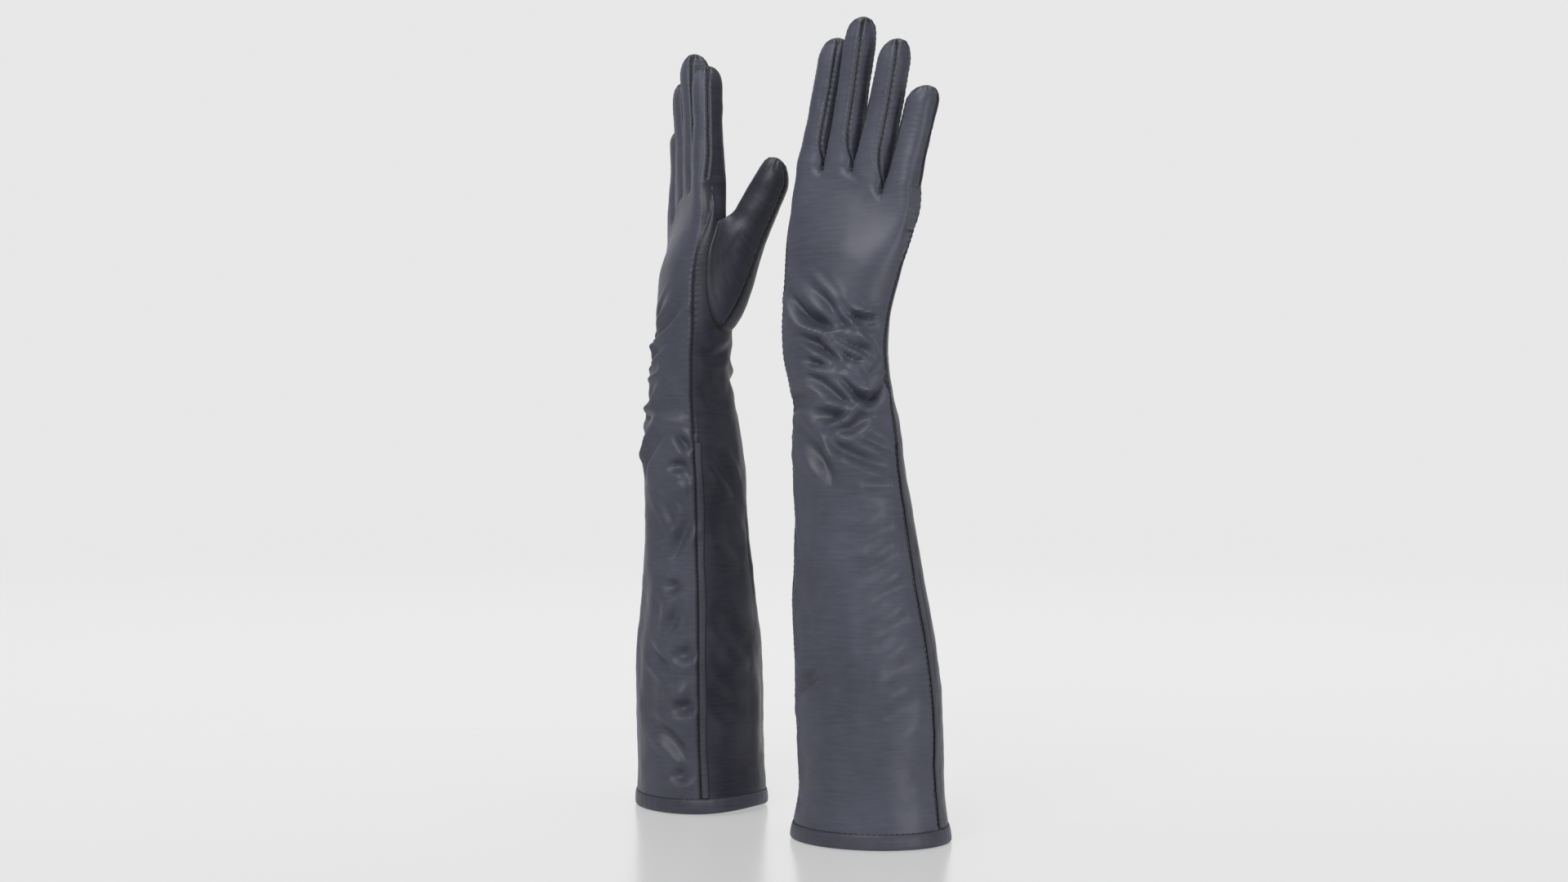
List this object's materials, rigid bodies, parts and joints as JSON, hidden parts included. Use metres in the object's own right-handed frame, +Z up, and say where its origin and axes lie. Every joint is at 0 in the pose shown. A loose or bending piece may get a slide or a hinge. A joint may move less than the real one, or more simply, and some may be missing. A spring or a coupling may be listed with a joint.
{
  "type": "opera gloves",
  "caption": "Pair of long satin gloves that reach to the elbow, with gathered wrists, side strips in the fingers and turned-up hems.",
  "frame": {"origin": "middle of the pair's box, on the surface that the cuffs stand on", "axes": "+X from the left-hand glove to the right-hand glove, -Y the side that the backs of the hands face, +Z up along the arms to the fingertips"},
  "size_m": [0.2476, 0.0837, 0.465],
  "materials": {
    "satin": "dark slate stretch satin with a soft sheen",
    "satin_turned": "the same satin, turned over at the hem and the seams",
    "fourchette_satin": "the same satin cut as narrow strips, puckered at the seams",
    "thread": "dark sewing thread"
  },
  "bodies": {
    "left_arm": {"left_sleeve_back": "satin", "left_sleeve_palm": "satin", "left_cuff_hem": "satin_turned", "left_hem_stitching": "thread", "left_radial_welt": "satin_turned", "left_ulnar_welt": "satin_turned", "left_wrist_back": "satin", "left_wrist_palm": "satin"},
    "left_hand": {"left_hand_back": "satin", "left_hand_palm": "satin", "left_fourchette_roots": "fourchette_satin", "left_thumb_stitching": "thread"},
    "left_index": {"left_index_back": "satin", "left_index_palm": "satin", "left_index_fourchette": "fourchette_satin"},
    "left_middle": {"left_middle_back": "satin", "left_middle_palm": "satin", "left_middle_fourchettes": "fourchette_satin"},
    "left_ring": {"left_ring_back": "satin", "left_ring_palm": "satin", "left_ring_fourchettes": "fourchette_satin"},
    "left_little": {"left_little_back": "satin", "left_little_palm": "satin", "left_little_fourchette": "fourchette_satin"},
    "left_thumb": {"left_thumb_outer": "satin", "left_thumb_inner": "satin"},
    "right_arm": {"right_sleeve_back": "satin", "right_sleeve_palm": "satin", "right_cuff_hem": "satin_turned", "right_hem_stitching": "thread", "right_radial_welt": "satin_turned", "right_ulnar_welt": "satin_turned", "right_wrist_back": "satin", "right_wrist_palm": "satin"},
    "right_hand": {"right_hand_back": "satin", "right_hand_palm": "satin", "right_fourchette_roots": "fourchette_satin", "right_thumb_stitching": "thread"},
    "right_index": {"right_index_back": "satin", "right_index_palm": "satin", "right_index_fourchette": "fourchette_satin"},
    "right_middle": {"right_middle_back": "satin", "right_middle_palm": "satin", "right_middle_fourchettes": "fourchette_satin"},
    "right_ring": {"right_ring_back": "satin", "right_ring_palm": "satin", "right_ring_fourchettes": "fourchette_satin"},
    "right_little": {"right_little_back": "satin", "right_little_palm": "satin", "right_little_fourchette": "fourchette_satin"},
    "right_thumb": {"right_thumb_outer": "satin", "right_thumb_inner": "satin"}
  },
  "joints": [
    {"name": "pair_spacing", "type": "slide", "parent": "left_arm", "child": "right_arm", "axis": [1, 0, 0], "range_m": [0, 0.12]},
    {"name": "left_wrist", "type": "hinge", "parent": "left_arm", "child": "left_hand", "pos_m": [-0.06818, -0.01576, 0.266], "axis": [-0.9272, 0.3746, 0], "range_deg": [-40, 45], "deforming": ["left_wrist_back", "left_wrist_palm"]},
    {"name": "left_index_bend", "type": "hinge", "parent": "left_hand", "child": "left_index", "pos_m": [-0.04507, -0.00714, 0.3814], "axis": [-0.9115, 0.3683, -0.1833], "range_deg": [0, 75]},
    {"name": "left_middle_bend", "type": "hinge", "parent": "left_hand", "child": "left_middle", "pos_m": [-0.06175, -0.0004, 0.3834], "axis": [-0.9149, 0.3696, -0.1624], "range_deg": [0, 75]},
    {"name": "left_ring_bend", "type": "hinge", "parent": "left_hand", "child": "left_ring", "pos_m": [-0.079, 0.00657, 0.3804], "axis": [-0.9045, 0.3654, -0.2198], "range_deg": [0, 75]},
    {"name": "left_little_bend", "type": "hinge", "parent": "left_hand", "child": "left_little", "pos_m": [-0.09652, 0.01365, 0.3684], "axis": [-0.9032, 0.3649, -0.2261], "range_deg": [0, 75]},
    {"name": "left_thumb_spread", "type": "hinge", "parent": "left_hand", "child": "left_thumb", "pos_m": [-0.04187, -0.00302, 0.3], "axis": [-0.5406, 0.8413, 0], "range_deg": [0, 30]},
    {"name": "right_wrist", "type": "hinge", "parent": "right_arm", "child": "right_hand", "pos_m": [0.06818, -0.01576, 0.266], "axis": [-0.9272, -0.3746, 0], "range_deg": [-40, 45], "deforming": ["right_wrist_back", "right_wrist_palm"]},
    {"name": "right_index_bend", "type": "hinge", "parent": "right_hand", "child": "right_index", "pos_m": [0.04507, -0.00714, 0.3814], "axis": [-0.9115, -0.3683, 0.1833], "range_deg": [0, 75]},
    {"name": "right_middle_bend", "type": "hinge", "parent": "right_hand", "child": "right_middle", "pos_m": [0.06175, -0.0004, 0.3834], "axis": [-0.9149, -0.3696, 0.1624], "range_deg": [0, 75]},
    {"name": "right_ring_bend", "type": "hinge", "parent": "right_hand", "child": "right_ring", "pos_m": [0.079, 0.00657, 0.3804], "axis": [-0.9045, -0.3654, 0.2198], "range_deg": [0, 75]},
    {"name": "right_little_bend", "type": "hinge", "parent": "right_hand", "child": "right_little", "pos_m": [0.09652, 0.01365, 0.3684], "axis": [-0.9032, -0.3649, 0.2261], "range_deg": [0, 75]},
    {"name": "right_thumb_spread", "type": "hinge", "parent": "right_hand", "child": "right_thumb", "pos_m": [0.04187, -0.00302, 0.3], "axis": [-0.5406, -0.8413, 0], "range_deg": [0, 30]}
  ]
}
